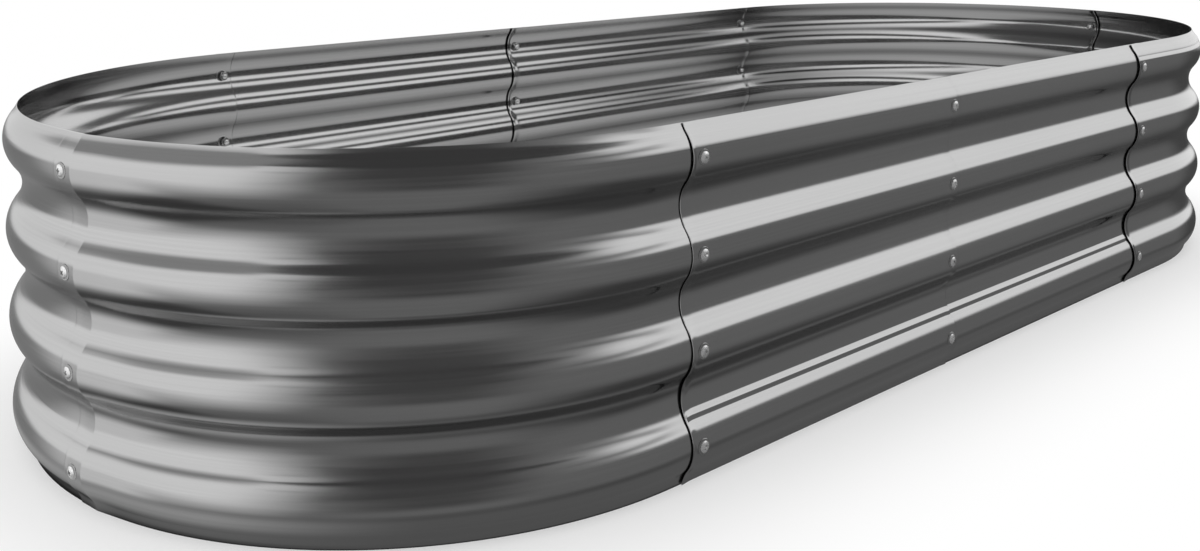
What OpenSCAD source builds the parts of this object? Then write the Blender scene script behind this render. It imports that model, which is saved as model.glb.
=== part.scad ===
// Oval raised garden bed: eight corrugated steel sheets, lapped and bolted, open at top and bottom.
// The origin is on the ground at the middle of the bed. +X runs along its length and +Z is up.
// Distances along the wall run anticlockwise seen from above, along the crests of the waves:
// round the left end from back to front, along the front, round the right end, and back.

/* [Bed] */
// Radius of each round end, to the crests of the innermost sheet
end_r = 360; // [250:5:600]
// Length of the straight run between the two round ends
straight_l = 900; // [500:10:2000]
// Height of the sheets
bed_h = 290; // [220:1:600]

/* [Corrugation] */
// Height of one wave, from crest to crest
wave_pitch = 77; // [60:1:110]
// Depth of a wave, from crest to trough
wave_depth = 14; // [6:0.5:18]
// Distance of the highest crest below the rim
first_crest = 27; // [20:1:40]
// Least distance of the lowest crest above the ground
last_crest = 20; // [15:1:40]
// Thickness of the sheet, measured level
sheet_t = 0.6; // [0.4:0.1:1.5]

/* [Laps] */
// Width of the lap between two sheets
lap_w = 24; // [18:1:40]
// Gap left between the sheets of a lap
lap_gap = 0.1; // [0.05:0.05:0.3]
// How far the left end's seam lies past the middle of that end
left_end_shift = 60; // [-150:5:150]
// How far the front left seam lies past the start of the straight run
front_left_shift = 20; // [-100:5:100]
// How far the front middle seam lies past the middle of the straight run
front_middle_shift = -70; // [-100:5:100]
// How far the front right seam lies past the end of the straight run
front_right_shift = -100; // [-120:5:100]
// How far the right end's seam lies past the middle of that end
right_end_shift = -80; // [-150:5:150]
// How far the back right seam lies past the start of the straight run
back_right_shift = 5; // [-100:5:100]
// How far the back middle seam lies past the middle of the straight run
back_middle_shift = 35; // [-100:5:100]
// How far the back left seam lies past the end of the straight run
back_left_shift = 22; // [-100:1:100]

/* [Fasteners] */
// Diameter of a bolt's shank
bolt_d = 6; // [4:0.5:8]
// Length of a bolt under its head
bolt_l = 12; // [11:1:25]
// Diameter of a bolt's pan head
head_d = 9.6; // [8.5:0.1:14]
// Height of a bolt's pan head
head_h = 2.2; // [2:0.1:5]
// Radius of the dome on a bolt's head
dome_r = 8; // [7:0.5:20]
// Length of each slot of the cross recess
recess_l = 5; // [3:0.1:6]
// Width of each slot of the cross recess
recess_w = 1.1; // [0.6:0.1:1.8]
// Depth of the cross recess
recess_h = 1.6; // [0.8:0.1:1.9]
// Clearance all round a bolt in the sheets
hole_clear = 0.5; // [0.2:0.1:1]
// Clearance all round a bolt in a washer
washer_clear = 0.2; // [0.1:0.05:0.4]
// Clearance all round a bolt in its nut
nut_clear = 0.05; // [0.05:0.01:0.2]
// Outer diameter of a washer
washer_d = 13; // [12:0.5:18]
// Thickness of a washer
washer_t = 1; // [0.8:0.1:2]
// Gap left between an inner washer and the sheet, where both are curved
seat_gap = 0.05; // [0.02:0.01:0.2]
// Width across the flats of a nut
nut_w = 10; // [9.5:0.5:13]
// Height of a nut
nut_h = 5; // [3:0.1:7]

/* [Hidden] */

sheet_colour = [0.55, 0.56, 0.57];
bolt_colour = [0.78, 0.79, 0.8];
washer_colour = [0.4, 0.4, 0.41];

// Flat strips that make up one wave, seen from the side
strips = 12;
// How far a cutter reaches past the face that it cuts
past = 1;
// Sides of a round fastener
round_fn = 48;

// Numbers of the seams and of the panels, each panel after the seam where it starts
LEFT_END = 0;
FRONT_LEFT = 1;
FRONT_MIDDLE = 2;
FRONT_RIGHT = 3;
RIGHT_END = 4;
BACK_RIGHT = 5;
BACK_MIDDLE = 6;
BACK_LEFT = 7;
seam_count = 8;

end_l = PI * end_r;
front_start = end_l;
right_start = front_start + straight_l;
back_start = right_start + end_l;
wall_l = back_start + straight_l;

// Where each seam's bolts stand, as a distance along the wall
seam_at = [
    end_l / 2 + left_end_shift,
    front_start + front_left_shift,
    front_start + straight_l / 2 + front_middle_shift,
    right_start + front_right_shift,
    right_start + end_l / 2 + right_end_shift,
    back_start + back_right_shift,
    back_start + straight_l / 2 + back_middle_shift,
    wall_l + back_left_shift
];

// How many sheets each panel lies outside the innermost ones, from the one after the left end's seam
layers = [1, 2, 1, 2, 1, 0, 1, 0];
layer_step = sheet_t + lap_gap;

// Heights of the crests, from the highest down
crest_count = floor((bed_h - first_crest - last_crest) / wave_pitch) + 1;
crests = [for (i = [0 : crest_count - 1]) bed_h - first_crest - i * wave_pitch];

// How far the wall stands outside its crest line at height z, which is 0 or less.
// The cosine is stretched so that the flat strip on a crest lies on the crest line itself.
function wave(z) =
    wave_depth / 2 * (cos(360 * (z - crests[0]) / wave_pitch) / cos(180 / strips) - 1);

// Heights where one strip of the wave meets the next, with a strip centred on every crest
strip_h = wave_pitch / strips;
lowest_joint = ceil((past - crests[0]) / strip_h - 0.5);
highest_joint = floor((bed_h - past - crests[0]) / strip_h - 0.5);
joint_heights = [for (k = [lowest_joint : highest_joint]) crests[0] + (k + 0.5) * strip_h];
heights = concat([0], joint_heights, [bed_h]);
wave_table = [for (z = heights) [z, wave(z)]];

outer_face = [for (p = wave_table) [p[1], p[0]]];
inner_face = [for (i = [len(wave_table) - 1 : -1 : 0])
    [wave_table[i][1] - sheet_t, wave_table[i][0]]];

// An inner washer is flat, so it rests where its rim meets the hollow side of the crest
washer_dip = lookup(crests[0] + washer_d / 2, wave_table);

// Distance of seam n's outermost face, and of its inner washers' outer face, from the crest line
function layer_before(n) = layers[(n + seam_count - 1) % seam_count];
function outer_seat(n) = max(layers[n], layer_before(n)) * layer_step;
function inner_seat(n) =
    min(layers[n], layer_before(n)) * layer_step - sheet_t + washer_dip - seat_gap;

function along(d) = (d % wall_l + wall_l) % wall_l;

// Angle of a distance d round an end, kept to a thousandth of a degree.
// A bent stretch of wall then ends exactly where the straight one starts.
function to_degrees(d) = round(d / end_r * 180 / PI * 1000) / 1000;

// The four runs of the wall are 0 the left end, 1 the front, 2 the right end and 3 the back.
// They come round again, because the back left seam can lie past the wall's zero point.
run_starts = [0, front_start, right_start, back_start, wall_l, wall_l + front_start];
function run_at(d) = len([for (i = [1 : 3]) if (run_starts[i] <= d) i]);
function is_bent(run) = run % 2 == 0;

// Middle of a round end, or the place where a straight run starts, and the way it faces there
function run_x(run) = (run % 4 < 2 ? -1 : 1) * straight_l / 2;
function run_angle(run) = run % 4 == 1 || run % 4 == 2 ? -90 : 90;

// Puts its children at the crest line, a distance d along one run, with +X pointing outwards
module on_run(run, d) {
    turn = is_bent(run) ? to_degrees(d) : 0;
    slide = is_bent(run) ? 0 : d;
    translate([run_x(run), 0, 0]) rotate([0, 0, run_angle(run) + turn])
        translate([end_r, slide, 0]) children();
}

// The same, a distance d along the whole wall
module on_wall(d) {
    run = run_at(along(d));
    on_run(run, along(d) - run_starts[run]) children();
}

// Side view of a sheet, with X measured outwards from the crest line
module wave_outline(layer) {
    translate([layer * layer_step, 0]) polygon(concat(outer_face, inner_face));
}

// A stretch of one straight run, from one distance along it to another
module straight_wall(run, from, to, layer) {
    on_run(run, to) rotate([90, 0, 0]) linear_extrude(to - from) wave_outline(layer);
}

// A stretch of one round end, from one distance along it to another
module round_wall(run, from, to, layer) {
    first = to_degrees(from);
    translate([run_x(run), 0, 0])
        rotate_extrude(start = run_angle(run) + first, angle = to_degrees(to) - first)
            translate([end_r, 0]) wave_outline(layer);
}

// A sheet from one distance along the wall to another, bent where the wall is
module sheet(from, to, layer) {
    for (run = [0 : len(run_starts) - 2]) {
        start = run_starts[run];
        a = max(from - start, 0);
        b = min(to, run_starts[run + 1]) - start;
        if (a < b) {
            if (is_bent(run)) round_wall(run, a, b, layer);
            else straight_wall(run, a, b, layer);
        }
    }
}

// Turns a child that stands along +Z so that it points out of the wall
module outwards() {
    rotate([0, 90, 0]) children();
}

// Puts its children on every crest of seam n
module on_crests(n) {
    for (z = crests) on_wall(seam_at[n]) translate([0, 0, z]) children();
}

// The holes for seam n's bolts. Each cutter is turned so that its own seam stays off the line
// where a straight run of the wall meets a round end.
module bolt_holes(n) {
    reach = sheet_t + past;
    on_crests(n) translate([-reach, 0, 0]) outwards() rotate([0, 0, 45])
        cylinder(d = bolt_d + 2 * hole_clear, h = reach + outer_seat(n) + past, $fn = round_fn);
}

// The panel between seam n and the next one, lapping half a lap past both
module panel(n) {
    next = (n + 1) % seam_count;
    // The last panel goes on past the wall's zero point, or starts there
    to = seam_at[next] + (n == BACK_LEFT ? wall_l : 0);
    color(sheet_colour) difference() {
        sheet(seam_at[n] - lap_w / 2, to + lap_w / 2, layers[n]);
        bolt_holes(n);
        bolt_holes(next);
    }
}

module bolt() {
    difference() {
        union() {
            intersection() {
                cylinder(d = head_d, h = head_h, $fn = round_fn);
                translate([0, 0, head_h - dome_r]) sphere(r = dome_r, $fn = round_fn);
            }
            translate([0, 0, -bolt_l]) cylinder(d = bolt_d, h = bolt_l + past, $fn = round_fn);
        }
        for (turn = [0, 90]) rotate([0, 0, turn])
            translate([-recess_l / 2, -recess_w / 2, head_h - recess_h])
                cube([recess_l, recess_w, recess_h + past]);
    }
}

module washer() {
    difference() {
        cylinder(d = washer_d, h = washer_t, $fn = round_fn);
        translate([0, 0, -past])
            cylinder(d = bolt_d + 2 * washer_clear, h = washer_t + 2 * past, $fn = round_fn);
    }
}

module nut() {
    difference() {
        cylinder(d = nut_w / cos(30), h = nut_h, $fn = 6);
        translate([0, 0, -past])
            cylinder(d = bolt_d + 2 * nut_clear, h = nut_h + 2 * past, $fn = round_fn);
    }
}

module bolts(n) {
    color(bolt_colour) on_crests(n)
        translate([outer_seat(n) + washer_t, 0, 0]) outwards() bolt();
}

module outer_washers(n) {
    color(washer_colour) on_crests(n)
        translate([outer_seat(n), 0, 0]) outwards() washer();
}

module inner_washers(n) {
    color(washer_colour) on_crests(n)
        translate([inner_seat(n) - washer_t, 0, 0]) outwards() washer();
}

module nuts(n) {
    color(bolt_colour) on_crests(n)
        translate([inner_seat(n) - washer_t - nut_h, 0, 0]) outwards() nut();
}

panel(BACK_LEFT);  // left_end_back_panel
panel(LEFT_END);  // left_end_front_panel
panel(FRONT_LEFT);  // front_left_panel
panel(FRONT_MIDDLE);  // front_right_panel
panel(FRONT_RIGHT);  // right_end_front_panel
panel(RIGHT_END);  // right_end_back_panel
panel(BACK_RIGHT);  // back_right_panel
panel(BACK_MIDDLE);  // back_left_panel

bolts(LEFT_END);  // left_end_bolts
bolts(FRONT_LEFT);  // front_left_bolts
bolts(FRONT_MIDDLE);  // front_middle_bolts
bolts(FRONT_RIGHT);  // front_right_bolts
bolts(RIGHT_END);  // right_end_bolts
bolts(BACK_RIGHT);  // back_right_bolts
bolts(BACK_MIDDLE);  // back_middle_bolts
bolts(BACK_LEFT);  // back_left_bolts

outer_washers(LEFT_END);  // left_end_outer_washers
outer_washers(FRONT_LEFT);  // front_left_outer_washers
outer_washers(FRONT_MIDDLE);  // front_middle_outer_washers
outer_washers(FRONT_RIGHT);  // front_right_outer_washers
outer_washers(RIGHT_END);  // right_end_outer_washers
outer_washers(BACK_RIGHT);  // back_right_outer_washers
outer_washers(BACK_MIDDLE);  // back_middle_outer_washers
outer_washers(BACK_LEFT);  // back_left_outer_washers

inner_washers(LEFT_END);  // left_end_inner_washers
inner_washers(FRONT_LEFT);  // front_left_inner_washers
inner_washers(FRONT_MIDDLE);  // front_middle_inner_washers
inner_washers(FRONT_RIGHT);  // front_right_inner_washers
inner_washers(RIGHT_END);  // right_end_inner_washers
inner_washers(BACK_RIGHT);  // back_right_inner_washers
inner_washers(BACK_MIDDLE);  // back_middle_inner_washers
inner_washers(BACK_LEFT);  // back_left_inner_washers

nuts(LEFT_END);  // left_end_nuts
nuts(FRONT_LEFT);  // front_left_nuts
nuts(FRONT_MIDDLE);  // front_middle_nuts
nuts(FRONT_RIGHT);  // front_right_nuts
nuts(RIGHT_END);  // right_end_nuts
nuts(BACK_RIGHT);  // back_right_nuts
nuts(BACK_MIDDLE);  // back_middle_nuts
nuts(BACK_LEFT);  // back_left_nuts
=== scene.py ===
# %% [markdown]
# A raised garden bed of corrugated steel, dressed for a picture.
# The construction model gives the size and the place of every part. This lesson gives the parts
# their looks: pressed sheets with a rolled grain, springy lap edges, and turned bolts and nuts.
# Every length is in metres. The origin is on the ground at the middle of the bed, +X runs along
# its length, the front faces -Y, and +Z is up.

import math

import bpy
from mathutils import Matrix, Vector


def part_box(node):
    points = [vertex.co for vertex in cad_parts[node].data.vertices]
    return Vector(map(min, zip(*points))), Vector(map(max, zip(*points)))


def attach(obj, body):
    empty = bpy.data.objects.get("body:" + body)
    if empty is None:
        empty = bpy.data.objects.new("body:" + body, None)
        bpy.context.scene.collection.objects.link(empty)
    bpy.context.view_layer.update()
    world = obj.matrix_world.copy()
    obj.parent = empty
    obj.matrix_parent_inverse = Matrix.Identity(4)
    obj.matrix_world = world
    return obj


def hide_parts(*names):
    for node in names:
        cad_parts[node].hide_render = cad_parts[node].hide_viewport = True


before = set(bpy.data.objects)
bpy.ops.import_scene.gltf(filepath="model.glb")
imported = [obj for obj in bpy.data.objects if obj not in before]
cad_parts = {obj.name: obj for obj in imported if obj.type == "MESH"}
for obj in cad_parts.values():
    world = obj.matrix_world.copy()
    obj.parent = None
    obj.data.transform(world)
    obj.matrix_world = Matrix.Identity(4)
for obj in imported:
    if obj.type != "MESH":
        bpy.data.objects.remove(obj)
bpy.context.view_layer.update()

# %% [markdown]
# The sheets of a bed like this are pressed while flat and rolled round later, so one side view
# and one path round the bed describe them all. Their sizes are read from the construction model,
# and the new sheets then meet its bolts. Layers are counted outwards: layer 1 laps over layer 0.

# %% Read the sizes
MM = 0.001


def middle(node):
    """The middle of a node's box."""
    low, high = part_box(node)
    return (low + high) / 2


BED_HEIGHT = round(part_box("back_right_panel")[1].z, 5)
END_RADIUS = round(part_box("back_right_panel")[1].y, 5)
LAYER_STEP = round(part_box("front_right_panel")[0].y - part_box("front_left_panel")[0].y, 5)
RIGHT_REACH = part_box("right_end_back_panel")[1].x
HALF_STRAIGHT = round(RIGHT_REACH - END_RADIUS - LAYER_STEP, 3)
print("height", BED_HEIGHT, "radius", END_RADIUS, "half straight", HALF_STRAIGHT, "step", LAYER_STEP)

WASHERS_LOW, WASHERS_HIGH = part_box("front_left_outer_washers")
WASHER_RADIUS = round((WASHERS_HIGH.x - WASHERS_LOW.x) / 2, 4)
WASHER_THICKNESS = round(WASHERS_HIGH.y - WASHERS_LOW.y, 5)
TOP_CREST = round(WASHERS_HIGH.z - WASHER_RADIUS, 4)
LOW_CREST = round(WASHERS_LOW.z + WASHER_RADIUS, 4)
CREST_COUNT = 4
WAVE_PITCH = (TOP_CREST - LOW_CREST) / (CREST_COUNT - 1)
CRESTS = [TOP_CREST - i * WAVE_PITCH for i in range(CREST_COUNT)]
WAVE_DEPTH = 14 * MM
SHEET_THICKNESS = 0.6 * MM
print("washer", WASHER_RADIUS, WASHER_THICKNESS, "crests", CRESTS)

# %% [markdown]
# A distance along the wall runs anticlockwise seen from above: round the left end from back to
# front, along the front, round the right end, and along the back. Two helpers turn such a
# distance into a place on the wall, and a point back into its distance.

# %% Follow the wall
BEND_LENGTH = math.pi * END_RADIUS
FRONT_START = BEND_LENGTH
RIGHT_START = FRONT_START + 2 * HALF_STRAIGHT
BACK_START = RIGHT_START + BEND_LENGTH
WALL_LENGTH = BACK_START + 2 * HALF_STRAIGHT
RUN_STARTS = [0, FRONT_START, RIGHT_START, BACK_START]
TINY = 1e-7


def run_at(distance):
    """Which run of the wall a distance lies on: 0 left end, 1 front, 2 right end, 3 back."""
    return sum(1 for start in RUN_STARTS[1:] if distance > start - TINY)


def place_on_wall(distance):
    """The matrix that puts a thing on the crest line, with its X pointing out of the wall."""
    distance %= WALL_LENGTH
    run = run_at(distance)
    past_start = distance - RUN_STARTS[run]
    side = -1 if run < 2 else 1
    facing = -math.pi / 2 if run in (1, 2) else math.pi / 2
    turn = past_start / END_RADIUS if run % 2 == 0 else 0
    slide = 0 if run % 2 == 0 else past_start
    return (
        Matrix.Translation((side * HALF_STRAIGHT, 0, 0))
        @ Matrix.Rotation(facing + turn, 4, "Z")
        @ Matrix.Translation((END_RADIUS, slide, 0))
    )


def distance_of(point):
    """How far along the wall a point stands."""
    if point.x < -HALF_STRAIGHT:
        angle = math.atan2(point.y, point.x + HALF_STRAIGHT) - math.pi / 2
        return angle % (2 * math.pi) * END_RADIUS
    if point.x > HALF_STRAIGHT:
        angle = math.atan2(point.y, point.x - HALF_STRAIGHT) + math.pi / 2
        return RIGHT_START + angle * END_RADIUS
    if point.y < 0:
        return FRONT_START + HALF_STRAIGHT + point.x
    return BACK_START + HALF_STRAIGHT - point.x


SEAMS = [
    "left_end", "front_left", "front_middle", "front_right",
    "right_end", "back_right", "back_middle", "back_left",
]
seam_at = {seam: distance_of(middle(seam + "_outer_washers")) for seam in SEAMS}
LAP_WIDTH = round(2 * (middle("front_middle_outer_washers").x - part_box("front_right_panel")[0].x), 4)
print("seams", {seam: round(distance, 4) for seam, distance in seam_at.items()}, "lap", LAP_WIDTH)

# %% [markdown]
# The camera stands close to the near end and a little above the rim. Its place was found by
# fitting a pinhole to the rim, the foot and the bolts. The upright lines of the picture stay
# upright because the camera is nearly level and the frame is shifted down instead.

# %% Set the camera
CAMERA_PLACE = Vector((-1.15043, -1.01968, 0.45649))
CAMERA_YAW = 0.80835
CAMERA_PITCH = -0.07428
CAMERA_ROLL = -0.00378

camera_data = bpy.data.cameras.new("camera")
camera_data.sensor_width = 36
camera_data.lens = 38.10
camera_data.shift_x = -0.01465
camera_data.shift_y = -0.22819
camera_data.clip_end = 200
camera = bpy.data.objects.new("camera", camera_data)
bpy.context.scene.collection.objects.link(camera)
camera.matrix_world = (
    Matrix.Translation(CAMERA_PLACE)
    @ Matrix.Rotation(CAMERA_YAW - math.pi / 2, 4, "Z")
    @ Matrix.Rotation(math.pi / 2 + CAMERA_PITCH, 4, "X")
    @ Matrix.Rotation(CAMERA_ROLL, 4, "Z")
)
bpy.context.scene.camera = camera
bpy.context.scene.view_settings.view_transform = "Standard"
print("camera at", list(camera.location), "lens", camera_data.lens)

# %% [markdown]
# Bare steel shows what stands round it more than it shows the lamps, so the studio is as much a
# part of its look as the metal. Lamps and boards could be placed one by one. Here the world is
# painted by direction instead, with tables of levels that are easy to fit to a picture.
# Only mirrored rays meet those levels. The bed is lit by plain white from all round, and what the
# camera sees past the bed is white as well.

# %% Helpers for node trees
def node(tree, kind, **values):
    """Adds a node. Values named in_0, in_1 and so on go to its sockets, others to its settings."""
    made = tree.nodes.new("ShaderNode" + kind)
    for name, value in values.items():
        if name.startswith("in_"):
            made.inputs[int(name[3:])].default_value = value
        else:
            setattr(made, name, value)
    return made


def math_node(tree, operation, first, second=0.0, clamp=False):
    """A sum of two inputs, each a number or an output socket."""
    made = node(tree, "Math", operation=operation, use_clamp=clamp)
    for socket, value in zip(made.inputs, (first, second)):
        if isinstance(value, bpy.types.NodeSocket):
            tree.links.new(value, socket)
        else:
            socket.default_value = value
    return made.outputs[0]


def soft_step(tree, value, start, end, low=0.0, high=1.0):
    """Goes smoothly from low to high as the value goes from start to end."""
    made = node(tree, "MapRange", interpolation_type="SMOOTHSTEP")
    made.inputs["From Min"].default_value = start
    made.inputs["From Max"].default_value = end
    made.inputs["To Min"].default_value = low
    made.inputs["To Max"].default_value = high
    tree.links.new(value, made.inputs["Value"])
    return made.outputs["Result"]


def mixed(tree, share, first, second):
    """The first value where the share is 0, the second where it is 1."""
    made = node(tree, "Mix", data_type="FLOAT")
    for name, value in (("Factor", share), ("A", first), ("B", second)):
        socket = made.inputs[name]
        if isinstance(value, bpy.types.NodeSocket):
            tree.links.new(value, socket)
        else:
            socket.default_value = value
    return made.outputs["Result"]


def levels_along(tree, value, levels):
    """Joins (value, level) pairs with straight lines."""
    start, end = levels[0][0], levels[-1][0]
    share = node(tree, "MapRange")
    share.inputs["From Min"].default_value = start
    share.inputs["From Max"].default_value = end
    tree.links.new(value, share.inputs["Value"])
    made = node(tree, "ValToRGB")
    stops = made.color_ramp.elements
    for stop, (_, level) in zip(stops, (levels[0], levels[-1])):
        stop.color = (level, level, level, 1)
    for place, level in levels[1:-1]:
        stops.new((place - start) / (end - start)).color = (level, level, level, 1)
    tree.links.new(share.outputs["Result"], made.inputs["Fac"])
    return made.outputs["Color"]


def mirror_rays(tree):
    """1 for rays that left a mirror or glass, else 0."""
    path = node(tree, "LightPath")
    return math_node(
        tree, "MAXIMUM", path.outputs["Is Glossy Ray"], path.outputs["Is Transmission Ray"]
    )


print("node helpers ready")

# %% [markdown]
# A direction has an azimuth, in degrees anticlockwise from +X, and a rise, the sine of its height.
# Over an edge, which climbs towards the front, the studio is light, apart from the side behind the
# camera. The ceiling is dim, with a bright strip in front. Under the edge the studio is dark grey,
# but for its left side, and darker still where a ray goes steeply down. So the flanks of the waves
# that look up get bright bands, and those that look down get dark ones.

# %% Set the levels of the studio
EDGE_RISE = 0.35
EDGE_BLUR = 0.045
BACK_EDGE = -0.06
BELOW_EDGE = [
    (-180, 0.88), (-172, 0.82), (-162, 0.53), (-150, 0.17), (-138, 0.1), (-126, 0.07),
    (-112, 0.07), (-100, 0.12), (-90, 0.16), (-22, 0.16), (-6, 0.07), (10, 0.06),
    (25, 0.12), (60, 0.28), (95, 0.22), (112, 0.24), (135, 0.75), (180, 0.88),
]
ABOVE_EDGE = [
    (-180, 0.95), (-172, 0.9), (-162, 0.6), (-150, 0.11), (-138, 0.055), (-102, 0.06),
    (-90, 0.15), (-78, 0.2), (-68, 0.32), (-58, 0.85), (-52, 1.0), (40, 1.0),
    (90, 0.8), (130, 0.95), (180, 0.95),
]
CEILING_START = [
    (-180, 0.63), (-162, 0.5), (-150, 0.6), (-90, 0.6), (-64, 0.42), (-48, 0.42),
    (-40, 0.6), (60, 0.6), (104, 0.33), (125, 0.36), (140, 0.43), (150, 0.47),
    (160, 0.525), (170, 0.58), (180, 0.63),
]
CEILING_BLUR = 0.075
BACK_CEILING = 0.33
FRONT_CEILING = [(0.4, 0.35), (0.52, 0.4), (0.57, 1.0), (0.7, 1.0), (0.74, 0.1), (1.0, 0.1)]
STEEP = 0.05
STEEP_LEVELS = [
    (-180, 0.12), (-165, 0.13), (-150, 0.17), (-100, 0.17), (-75, 0.1), (-55, STEEP),
    (150, STEEP), (165, 0.12), (180, 0.12),
]
STEEP_IN_FRONT = (-0.4, -0.69)
STEEP_BY_CAMERA = (-0.15, -0.45)
STEEP_ON_LEFT = [(-0.85, 1.0), (-0.62, 0.92), (-0.1, 0.0)]
CAMERA_SIDE_ENDS = (-100, -75)
LEFT_SIDE_STARTS = (150, 165)
FRONT_CEILING_STARTS = (0.0, -0.1)
print("levels in", len(BELOW_EDGE), "directions below the edge and", len(ABOVE_EDGE), "above")

# %% Make the studio
world = bpy.data.worlds.new("studio")
bpy.context.scene.world = world
world.use_nodes = True
sky = world.node_tree
sky.nodes.clear()
direction = node(sky, "SeparateXYZ")
sky.links.new(node(sky, "TexCoord").outputs["Generated"], direction.inputs[0])
rise = direction.outputs["Z"]
azimuth = math_node(
    sky,
    "DEGREES",
    math_node(sky, "ARCTAN2", direction.outputs["Y"], direction.outputs["X"]),
)
left_side = soft_step(sky, math_node(sky, "ABSOLUTE", azimuth), *LEFT_SIDE_STARTS)
front_edge = math_node(
    sky, "MAXIMUM", math_node(sky, "MULTIPLY", direction.outputs["Y"], -EDGE_RISE), BACK_EDGE
)
over_edge = soft_step(sky, math_node(sky, "SUBTRACT", rise, front_edge), -EDGE_BLUR, EDGE_BLUR)
steep = levels_along(sky, azimuth, STEEP_LEVELS)
front_share = mixed(
    sky,
    soft_step(sky, azimuth, *CAMERA_SIDE_ENDS),
    soft_step(sky, rise, *STEEP_BY_CAMERA),
    soft_step(sky, rise, *STEEP_IN_FRONT),
)
steep_share = mixed(sky, left_side, front_share, levels_along(sky, rise, STEEP_ON_LEFT))
below = mixed(sky, steep_share, levels_along(sky, azimuth, BELOW_EDGE), steep)
ceiling = mixed(
    sky,
    soft_step(sky, direction.outputs["Y"], *FRONT_CEILING_STARTS),
    BACK_CEILING,
    levels_along(sky, rise, FRONT_CEILING),
)
over_ceiling = soft_step(
    sky,
    math_node(sky, "SUBTRACT", rise, levels_along(sky, azimuth, CEILING_START)),
    -CEILING_BLUR,
    CEILING_BLUR,
)
lights = levels_along(sky, azimuth, ABOVE_EDGE)
over_lights = math_node(sky, "MAXIMUM", math_node(sky, "MULTIPLY", lights, ceiling), STEEP)
above = mixed(sky, over_ceiling, lights, over_lights)
mirrored = mixed(sky, over_edge, below, above)
background = node(sky, "Background")
background.inputs["Color"].default_value = (1, 1, 1, 1)
sky.links.new(mixed(sky, mirror_rays(sky), 1.0, mirrored), background.inputs["Strength"])
world_output = node(sky, "OutputWorld")
sky.links.new(background.outputs[0], world_output.inputs[0])
print("studio made of", len(sky.nodes), "nodes")

# %% [markdown]
# The floor is a wide pale sheet. Near the bed it takes the bed's shadow, and further out it
# fades into the same white as the studio, so no edge shows. Mirrored rays see only the strip by
# the foot and the ground inside the bed, and these glow with a painted shadow: the strip is dark at
# the very edge and paler further out, most of all on the left, and the grey ground inside is darker
# towards the wall. Mirrored rays pass through the rest, so the studio's own levels show there.
# All this depends on the distance from the wall, which is measured from the bed's middle line.

# %% Lay the floor
FLOOR_RADIUS = 40
FLOOR_POINTS = 96
FLOOR_COLOUR = 0.6
SHADOW_END = 0.2
# Painted shadow: the levels that the strip by the foot glows with in mirrors, dark right by the wall
# and paler further out.
FOOT_FRONT = [(0, 0.02), (0.0012, 0.02), (0.0022, 0.12), (0.03, 0.13), (0.05, 0.06)]
FOOT_LEFT = [(0, 0.02), (0.0012, 0.02), (0.0035, 0.16), (0.012, 0.32), (0.025, 0.42), (0.06, 0.25)]
# Painted shade: the ground inside the bed glows darker towards the wall in mirrors.
INSIDE_LEVELS = [(-0.36, 0.5), (-0.15, 0.42), (-0.02, 0.2)]
FOOT_INSET = 13.3 * MM
FOOT_ENDS = (0.03, 0.07)
LEFT_FOOT_STARTS = (-0.85, -0.45)

bpy.ops.object.select_all(action="DESELECT")
bpy.ops.mesh.primitive_circle_add(
    vertices=FLOOR_POINTS, radius=FLOOR_RADIUS, fill_type="NGON"
)
floor = bpy.context.object
floor.name = "floor"
floor_material = bpy.data.materials.new("pale_floor")
floor_material.use_nodes = True
ground = floor_material.node_tree
ground.nodes.clear()
place = node(ground, "SeparateXYZ")
ground.links.new(node(ground, "TexCoord").outputs["Object"], place.inputs[0])
past_straight = math_node(
    ground,
    "MAXIMUM",
    math_node(ground, "SUBTRACT", math_node(ground, "ABSOLUTE", place.outputs["X"]), HALF_STRAIGHT),
)
from_middle = node(ground, "CombineXYZ")
ground.links.new(past_straight, from_middle.inputs["X"])
ground.links.new(place.outputs["Y"], from_middle.inputs["Y"])
reach = node(ground, "VectorMath", operation="LENGTH")
ground.links.new(from_middle.outputs[0], reach.inputs[0])
off_wall = math_node(ground, "SUBTRACT", reach.outputs["Value"], END_RADIUS - FOOT_INSET)
print("floor radius", FLOOR_RADIUS)

# %% Let the floor take the shadow
diffuse = node(ground, "BsdfDiffuse")
diffuse.inputs["Color"].default_value = (FLOOR_COLOUR, FLOOR_COLOUR, FLOOR_COLOUR, 1)
lift = node(ground, "Emission")
lift.inputs["Strength"].default_value = 1 - FLOOR_COLOUR
lit = node(ground, "AddShader")
ground.links.new(diffuse.outputs[0], lit.inputs[0])
ground.links.new(lift.outputs[0], lit.inputs[1])
plain = node(ground, "Emission")
seen = node(ground, "MixShader")
ground.links.new(soft_step(ground, off_wall, SHADOW_END, 0), seen.inputs[0])
ground.links.new(plain.outputs[0], seen.inputs[1])
ground.links.new(lit.outputs[0], seen.inputs[2])

print("shadow ends", SHADOW_END, "from the wall")

# %% Show the foot to mirrors
JUST_LEFT = -0.001

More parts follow.
